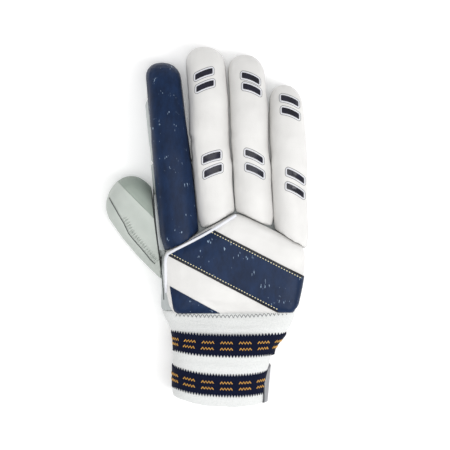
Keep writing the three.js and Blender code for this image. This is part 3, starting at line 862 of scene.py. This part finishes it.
thumbCover = padFrom("thumb_cover", [], thumbPad, ["thumb_back_pad", "thumb_side_pad"])
gather(thumbCover, thumbSeam)
cutShort(thumbCover, *[fromPixel(*p) for p in thumbEnd])
thumbBack = halfOf("thumb_back_cover", thumbCover, ridge["across"])
dress(thumbBack, thumbLeather, "thumb_leather", "thumb_back_pad")
# the side pad gets the darker copy of the thumb's leather, which has the shade on that side painted in
thumbSide = halfOf("thumb_side_cover", thumbCover, -ridge["across"])
dress(thumbSide, thumbPaintedShade, "thumb_leather", "thumb_side_pad")
bpy.data.objects.remove(thumbCover)
surface = surfaceOf(thumbBack)
path = [onTop(surface, p.x, p.y, thumbThread["lift"])[0] for p in thumbSeam]
dress(tube("thumb_seam", [p for p in path if p], thumbThread["radius"]), darkThread, "thumb_leather")

# the strip of the hand's leather between the thumb and the index roll, and the dark seam on its left side
sideSeamPixels = [
    (152.6, 189), (153.4, 198), (154.8, 214), (156.7, 234), (158.1, 247), (159.4, 258), (160.6, 268),
    (162.2, 283.3), (163.4, 300),
]
sideStrip = {
    "spacing": 1.5 * mm,
    "columns": 5,
    "bow": 0.5 * mm,
    "thickness": 0.6 * mm,
    "inset": 1.4 * mm,
    "sink": 0.5 * mm,
    "reach": 8 * mm,
    "seamInset": 0.3 * mm,
    "seamLift": 0.1 * mm,
    "seamRadius": 0.42 * mm,
}


def highest(surfaces, place, lift=0.0):
    # the uppermost point of some surfaces at a place, seen from above
    found = [onTop(surface, place.x, place.y, lift)[0] for surface in surfaces]
    return max((point for point in found if point), key=lambda point: point.z, default=None)


def stripBeside(name, line, leftSurfaces, rightSurface):
    # a strip of leather from a line at the height of the pads left of it to the pad on its right
    pairs = []
    for place in line:
        pad = highest(leftSurfaces, place - Vector((sideStrip["inset"], 0)))
        if not pad:
            continue
        left = Vector((*place, pad.z - sideStrip["sink"]))
        right = rightSurface.ray_cast(left, Vector((1, 0, 0)), sideStrip["reach"])[0]
        if right:
            pairs.append((left, right))
    rows, columns = len(pairs) - 1, sideStrip["columns"]
    strip = gridOf(name, columns, rows)

    def laid(place, normal):
        left, right = pairs[round((0.5 - place.y) * rows)]
        share = place.x + 0.5
        return left.lerp(right, share) + Vector((0, 0, sideStrip["bow"] * math.sin(math.pi * share)))
    moveVertices(strip, laid)
    applyModifier(strip, "SOLIDIFY", thickness=sideStrip["thickness"], offset=-1.0)
    shadeByAngle(strip, sharp["sheet"])
    return strip


seamLine = evenly([fromPixel(*p) for p in sideSeamPixels], sideStrip["spacing"])
padSurfaces = [surfaceOf(thumbBack), surfaceOf(thumbSide)]
leatherStrip = stripBeside("hand_side_strip", seamLine, padSurfaces, surfaceOf(rolls["index"]))
dress(leatherStrip, palmLeather, "palm_leather")
seamSurfaces = [surfaceOf(leatherStrip), surfaceOf(handBody)]
seamInset = Vector((sideStrip["seamInset"], 0))
path = [highest(seamSurfaces, place + seamInset, sideStrip["seamLift"]) for place in seamLine]
dress(tube("hand_side_seam", [p for p in path if p], sideStrip["seamRadius"]), darkThread, "palm_leather")
print("glove: hand and thumb")


# Back panel with its piping, navy patches, black edging and gold stitches

panel = {
    "voxel": 1.5 * mm,
    "smoothing": 10,
    "shrink": 0.4 * mm,
    "fillGrow": 0.35 * mm,
    "swell": True,
    "topRoom": 1.0 * mm,
    "sideRoom": 0.4 * mm,
    "finer": True,
    "fill": 0.8,
}
patch = {
    "lift": 0.5 * mm, "thickness": 0.45 * mm, "edging": 1.3 * mm, "edgingLift": 0.62 * mm,
    "facesDown": -0.15, "bandFoot": 1.0 * mm,
}
# the white piping on the panel's edge, as photograph places
piping = {"radius": 1.15 * mm, "sink": 0.35 * mm, "spacing": 1.2 * mm}
pipingPixels = [
    (167.4, 304), (166.4, 285), (166, 265), (166.4, 258), (168.8, 253.6), (176.4, 249.2), (190.3, 242.2),
    (204.2, 234.8), (214, 229.2), (225, 222.2), (235.5, 215.6),
]
# the ends of the navy band's two long edges
bandEdgePixels = [((211, 229), (303, 277)), ((168, 255), (279, 314))]
stitch = {
    "pitch": 2.3 * mm, "length": 1.5 * mm, "width": 0.75 * mm, "inset": 2.1 * mm, "ends": 2 * mm,
    "lift": 0.16 * mm, "droop": 0.3,
}
# the panel's lower edge comes forward over the cuff
lap = {"from": -56 * mm, "over": 10.4 * mm, "by": 2.2 * mm, "lift": 1.0 * mm}


def lapped(place, normal):
    share = smooth((lap["from"] - place.y) / lap["over"])
    return place + Vector((0, -lap["by"] * share, lap["lift"] * share))


backPanel = padFrom("panel_cover", ["back_panel"], panel, ["panel_band", "panel_corner"])
moveVertices(backPanel, lapped)
dress(backPanel, whiteHide, "white_hide", "back_panel")


def patchFrom(name, pad, corners, lift, lowest, skip=lambda outward: False):
    # a piece of hide that lies on a pad, cut out of the pad's own surface
    piece = newObject(name, pad.data.copy())
    piece.data.materials.clear()
    trim(piece, corners, skip)
    focus(piece)
    bpy.ops.object.mode_set(mode="EDIT")
    bpy.ops.mesh.select_mode(type="FACE")
    bpy.ops.mesh.select_all(action="DESELECT")
    bpy.ops.object.mode_set(mode="OBJECT")
    for face in piece.data.polygons:
        face.select = face.normal.z < patch["facesDown"] or face.center.z < lowest
    bpy.ops.object.mode_set(mode="EDIT")
    bpy.ops.mesh.delete(type="FACE")
    bpy.ops.object.mode_set(mode="OBJECT")
    applyModifier(piece, "DISPLACE", strength=lift, mid_level=0.0)
    applyModifier(piece, "SOLIDIFY", thickness=patch["thickness"], offset=-1.0)
    shadeByAngle(piece, sharp["pad"])
    return piece


def outerSide(outward):
    # the band's side towards the panel's right edge, which isn't cut
    return outward.x > 0.9


def lappedOutline(corners):
    moved = [lapped(corner.to_3d(), None).to_2d() for corner in corners]
    return anticlockwise([moved[i] for i in convex_hull_2d(moved)])


bandCorners = lappedOutline(footprint("panel_band"))
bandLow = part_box("panel_band")[0].z + patch["bandFoot"]
band = patchFrom("panel_band_hide", backPanel, bandCorners, patch["lift"], bandLow, outerSide)
dress(band, navyHide, "navy_hide", "panel_band")
# the navy corner's outline, as photograph places
cornerPixels = [(170.6, 285.4), (174.2, 308), (175.4, 310.6), (178.2, 312.2), (219.6, 312.2)]
cornerOutline = [fromPixel(*place) for place in cornerPixels]
corner = patchFrom("panel_corner_hide", backPanel, cornerOutline, patch["lift"], 0.0)
dress(corner, navyHide, "navy_hide", "panel_corner")


def oneStitch():
    # a short thick thread, drawn down at both its ends
    bpy.ops.mesh.primitive_uv_sphere_add(segments=8, ring_count=6, radius=0.5)
    piece = bpy.context.object
    piece.data.transform(Matrix.Diagonal((stitch["length"], stitch["width"], stitch["width"], 1)))

    def drawn(place, normal):
        share = abs(place.x) / (stitch["length"] / 2)
        return place - Vector((0, 0, stitch["droop"] * stitch["width"] * share * share))
    moveVertices(piece, drawn)
    focus(piece)
    bpy.ops.object.shade_smooth()
    return piece


edgings = []
stitchPlaces = []
bandSurface = surfaceOf(band)
bandMiddle = sum(bandCorners, Vector((0, 0))) / len(bandCorners)
for edge in bandEdgePixels:
    start, end = [min(bandCorners, key=lambda c: (c - fromPixel(*place)).length) for place in edge]
    along = (end - start).normalized()
    inward = Vector((-along.y, along.x))
    if inward.dot(bandMiddle - start) < 0:
        start, end, along, inward = end, start, -along, -inward
    strip = [start, end]
    strip += [corner + inward * patch["edging"] for corner in reversed(strip)]
    edgings.append(patchFrom("edging", backPanel, strip, patch["edgingLift"], bandLow))
    row = [start + along * stitch["ends"], end - along * stitch["ends"]]
    for place in evenly([corner + inward * stitch["inset"] for corner in row], stitch["pitch"]):
        point, normal = onTop(bandSurface, place.x, place.y, stitch["lift"])
        if point:
            stitchPlaces.append(facing(point, along.to_3d(), normal))
dress(joined("panel_band_edging", edgings), blackHide, "navy_hide")
dress(copiesAt("panel_band_stitches", oneStitch(), stitchPlaces), paleGold, "gold_thread")

panelSurface = surfaceOf(backPanel)
path = []
for place in evenly([fromPixel(*p) for p in pipingPixels], piping["spacing"]):
    point, normal = onTop(panelSurface, place.x, place.y)
    if point:
        path.append(point + Vector((0, 0, piping["radius"] - piping["sink"])))
dress(tube("panel_piping", path, piping["radius"], sides=6), pipingHide, "white_hide")
print("glove: back panel and patches")


# Cuff: towelling, elastic bands with gold dashes, and the strap

cuff = {
    "voxel": 1.3 * mm, "smoothing": 8, "shrink": 0.35 * mm, "foldDepth": 0.35 * mm,
    "foldSwing": 1.2 * mm, "foldLength": 17 * mm, "lapFrom": -70 * mm, "lapOver": 3 * mm,
    "topLap": 0.9 * mm,
}
# soft folds round the towelling, between the bands: place along the glove and half width, in millimetres
cuffFolds = [(-76.5, 2.2), (-82.0, 2.6), (-105.0, 2.6), (-137.0, 2.0)]
elastic = {
    "teeth": 86,
    "toothDepth": 2.3 * mm,
    "toothSteps": 4,
    "rows": 8,
    "lift": -0.7 * mm,
    "proud": 0.3 * mm,
    "thickness": 0.7 * mm,
    "edgeInset": 2 * mm,
    "shift": {"upper_band": (1.5 * mm, 0.2 * mm), "lower_band": (2.8 * mm, -0.1 * mm)},
    "evening": 6,
    "reach": 0.2,
}
dash = {
    "first": 15.4 * mm,
    "pitch": 15.1 * mm,
    "length": 9.4 * mm,
    "height": 1.7 * mm,
    "strokes": 8,
    "radius": 0.42 * mm,
    "rows": (0.31, 0.65),
    "lift": -0.05 * mm,
}
cuffBody = padFrom("cuff_towelling", ["cuff"], cuff)


def folded(place, normal):
    # the towelling's soft folds, and its top edge drawn up under the panel
    depth = 0.0
    for middle, half in cuffFolds:
        swing = cuff["foldSwing"] * math.sin(place.x / cuff["foldLength"])
        share = (place.y - middle * mm + swing) / (half * mm)
        depth += math.exp(-share * share)
    lap = smooth((place.y - cuff["lapFrom"]) / cuff["lapOver"]) * cuff["topLap"]
    return place - normal * depth * cuff["foldDepth"] + Vector((0, lap, 0))


moveVertices(cuffBody, folded)
dress(cuffBody, towelling, "towelling", "cuff")


# the scalloped thread along the towelling's upper edge
zigzag = {"pitch": 3.2 * mm, "height": 2.3 * mm, "radius": 0.26 * mm, "lift": 0.05 * mm, "points": 8}
zigzagPixels = [(176, 316.2), (200, 317.2), (226, 317.6), (252, 317.2), (287, 314.6)]
cuffSurface = surfaceOf(cuffBody)
base = evenly([fromPixel(*p) for p in zigzagPixels], zigzag["pitch"] / zigzag["points"])
path = []
for i, place in enumerate(base):
    arch = abs(math.sin(math.pi * i / zigzag["points"]))
    point = onTop(cuffSurface, place.x, place.y + zigzag["height"] * arch, zigzag["lift"])[0]
    if point:
        path.append(point)
dress(tube("cuff_stitching", path, zigzag["radius"], sides=2), greyThreadAndCreaseShade, "towelling")


def radiusAt(surface, axis, turn, y):
    # how far a surface lies from an axis, at an angle round it
    middle = Vector((axis.x, y, axis.z))
    out = Vector((math.cos(turn), 0, math.sin(turn)))
    hit = surface.ray_cast(middle + out * elastic["reach"], -out, elastic["reach"])[0]
    return numpy.nan if hit is None else (hit - middle).length


def bandLimits(node, sides=360, steps=140):
    # an elastic band's axis, and its lower and upper edge at each angle round it
    low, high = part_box(node)
    axis = Vector(((low.x + high.x) / 2, 0, (low.z + high.z) / 2))
    guide = surfaceOf(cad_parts[node])
    ys = numpy.linspace(low.y, high.y, steps)
    turns = numpy.linspace(-math.pi, math.pi, sides, endpoint=False)
    lows, highs = [], []
    for turn in turns:
        hits = [y for y in ys if radiusAt(guide, axis, turn, y) > 0]
        lows.append(min(hits))
        highs.append(max(hits))
    below, above = elastic["shift"][node]
    lows = evened(lows, elastic["evening"]) + below
    highs = evened(highs, elastic["evening"]) + above
    return axis, turns, lows, highs


def evened(values, reach):
    # the running mean of values round a closed line
    window = 2 * reach + 1
    wrapped = numpy.concatenate([values[-reach:], values, values[:reach]])  # the line's ends meet
    return numpy.convolve(wrapped, numpy.ones(window) / window, mode="valid")


def bandAround(name, node):
    # a woven band round the cuff, toothed on both edges; wayRound is the length round its middle so far
    axis, turns, lows, highs = bandLimits(node)
    guide = surfaceOf(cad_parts[node])
    rows = elastic["rows"]
    radii = []
    for row in range(rows + 1):
        share = row / rows
        ys = lows + (highs - lows) * share
        around = [ys + by for by in (-elastic["toothDepth"], 0, elastic["toothDepth"])]
        inner = [[radiusAt(cuffSurface, axis, turn, y) for turn, y in zip(turns, each)] for each in around]
        inner = numpy.fmax.reduce(inner) + elastic["proud"]
        inside = ys + (0.5 - share) * elastic["edgeInset"] - elastic["shift"][node][0] / 2
        outer = [radiusAt(guide, axis, turn, y) for turn, y in zip(turns, inside)]
        radius = numpy.fmax(inner, numpy.array(outer) + elastic["lift"])
        known = ~numpy.isnan(radius)
        radius = numpy.interp(turns, turns[known], radius[known], period=2 * math.pi)
        radii.append(evened(radius, elastic["evening"]))
    middle = radii[rows // 2]
    xs, zs = middle * numpy.cos(turns), middle * numpy.sin(turns)
    steps = numpy.hypot(numpy.diff(xs, append=xs[0]), numpy.diff(zs, append=zs[0]))
    wayRound = numpy.concatenate([[0], numpy.cumsum(steps)])
    toothSteps = elastic["toothSteps"]
    count = elastic["teeth"] * toothSteps
    at = numpy.interp(numpy.arange(count) * wayRound[-1] / count, wayRound, numpy.append(turns, math.pi))

    def placeOf(turn, share, shift=0.0):
        low, high = [numpy.interp(turn, turns, edge, period=2 * math.pi) for edge in (lows, highs)]
        row = min(max(share + shift / (high - low), 0.0), 1.0) * rows
        below = min(int(row), rows - 1)
        values = [numpy.interp(turn, turns, radii[k], period=2 * math.pi) for k in (below, below + 1)]
        radius = values[0] + (values[1] - values[0]) * (row - below)
        y = low + (high - low) * share + shift
        return Vector((axis.x + radius * math.cos(turn), y, axis.z + radius * math.sin(turn)))

    piece = gridOf(name, count, rows)

    def woven(place, normal):
        column = round((place.x + 0.5) * count) % count
        row = round((place.y + 0.5) * rows)
        tooth = abs(column % toothSteps - toothSteps / 2) / (toothSteps / 2) * elastic["toothDepth"]
        shift = tooth if row == rows else -tooth if row == 0 else 0.0
        return placeOf(at[column], row / rows, shift)
    moveVertices(piece, woven)
    onWholeMesh(piece, bpy.ops.mesh.remove_doubles, threshold=tools["weld"])
    onWholeMesh(piece, bpy.ops.mesh.normals_make_consistent, inside=False)
    faces = piece.data.polygons
    facingOut = sum(face.normal.dot(face.center - axis) > 0 for face in faces)
    if facingOut <= len(faces) / 2:
        piece.data.flip_normals()
    applyModifier(piece, "SOLIDIFY", thickness=elastic["thickness"], offset=-1.0)
    shadeByAngle(piece, sharp["sheet"])
    return piece, placeOf, turns, wayRound


def dashesOn(name, placeOf, turns, wayRound):
    # rows of zigzag dashes, evenly spaced round a band from one on the back of the hand
    def fromFirst(i):
        # how far an angle's place lies from the first dash, with the palm's side left out
        return abs(placeOf(turns[i], 0.5).x - dash["first"]) + (turns[i] < 0)
    top = min(range(len(turns)), key=fromFirst)
    count = round(wayRound[-1] / dash["pitch"])
    threads = []
    for share in dash["rows"]:
        for k in range(count):
            path = []
            for i in range(dash["strokes"] + 1):
                along = wayRound[top] + k * wayRound[-1] / count
                along += dash["length"] * (i / dash["strokes"] - 0.5)
                turn = numpy.interp(along % wayRound[-1], wayRound, numpy.append(turns, math.pi))
                point = placeOf(turn, share, dash["height"] * ((i % 2) - 0.5))
                out = Vector((math.cos(turn), 0, math.sin(turn)))
                path.append(point + out * dash["lift"])
            threads.append(tube("dash", path, dash["radius"], sides=2))
    return joined(name, threads)


for bandNode in ["upper_band", "lower_band"]:
    weave, placeOf, turns, wayRound = bandAround(bandNode + "_elastic", bandNode)
    dress(weave, navyKnit, "navy_elastic", bandNode)
    dress(dashesOn(bandNode + "_dashes", placeOf, turns, wayRound), goldThread, "gold_thread")

# turns are angles round the cuff; the slant draws the end's upper corner back further
strapSettings = {
    "drawIn": 1.6 * mm,
    "endReach": 0.6,
    "endTurn": 0.1,
    "slant": 0.24,
    "topDown": 2.6 * mm,
    "edgeShadeCord": 0.5 * mm,
    "edgeShadeSpacing": 2 * mm,
    "edgeRound": 0.3 * mm,
}
strap = copyOfNode("closing_strap", "strap")
strapLow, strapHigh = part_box("strap")
cuffLow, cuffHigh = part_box("cuff")
cuffAxis = Vector(((strapLow.x + strapHigh.x) / 2, 0, (cuffLow.z + cuffHigh.z) / 2))


def aroundCuff(place):
    return math.atan2(place.z - cuffAxis.z, place.x - cuffAxis.x)


onTheSide = [v for v in strap.data.vertices if v.co.x > cuffAxis.x]
strapEnd = max(aroundCuff(v.co) for v in onTheSide)
endVertices = sorted(onTheSide, key=lambda v: -aroundCuff(v.co))[:4]
endVertices.sort(key=lambda v: (v.co.y, (v.co - cuffAxis).length))
endIndices = [v.index for v in endVertices]


def shortened(place, normal):
    # the strap's end on the little finger's side, drawn back a little, and more at its upper corner
    share = (aroundCuff(place) - strapEnd) / strapSettings["endReach"] + 1
    if share <= 0 or place.x < cuffAxis.x:
        return place
    isUpper = place.y > (strapLow.y + strapHigh.y) / 2
    turn = strapSettings["endTurn"] + (strapSettings["slant"] if isUpper else 0)
    down = strapSettings["topDown"] if isUpper else 0
    turned = Matrix.Rotation(turn * share, 3, "Y") @ (place - cuffAxis)
    return cuffAxis + turned - Vector((0, down * share, 0))


def drawnIn(place, normal):
    inward = Vector((cuffAxis.x - place.x, 0, cuffAxis.z - place.z))
    return place + inward.normalized() * strapSettings["drawIn"]


moveVertices(strap, shortened)
moveVertices(strap, drawnIn)
# the outer corners of the end, the lower and the upper one
edgeLine = [strap.data.vertices[endIndices[k]].co.copy() for k in (1, 3)]
edgeLine = evenly(edgeLine, strapSettings["edgeShadeSpacing"])
# a dark cord between them is painted shade, standing in for the shadow along the strap's end edge
edgeShadeCord = tube("strap_edge_shade_cord", edgeLine, strapSettings["edgeShadeCord"])
dress(edgeShadeCord, strapEdgeShade, "strap_vinyl")
edgeRound = strapSettings["edgeRound"]
applyModifier(strap, "BEVEL", width=edgeRound, segments=2, limit_method="ANGLE", angle_limit=0.9)
dress(strap, strapVinyl, "strap_vinyl", "strap")
print("glove: cuff")


print("glove: done")
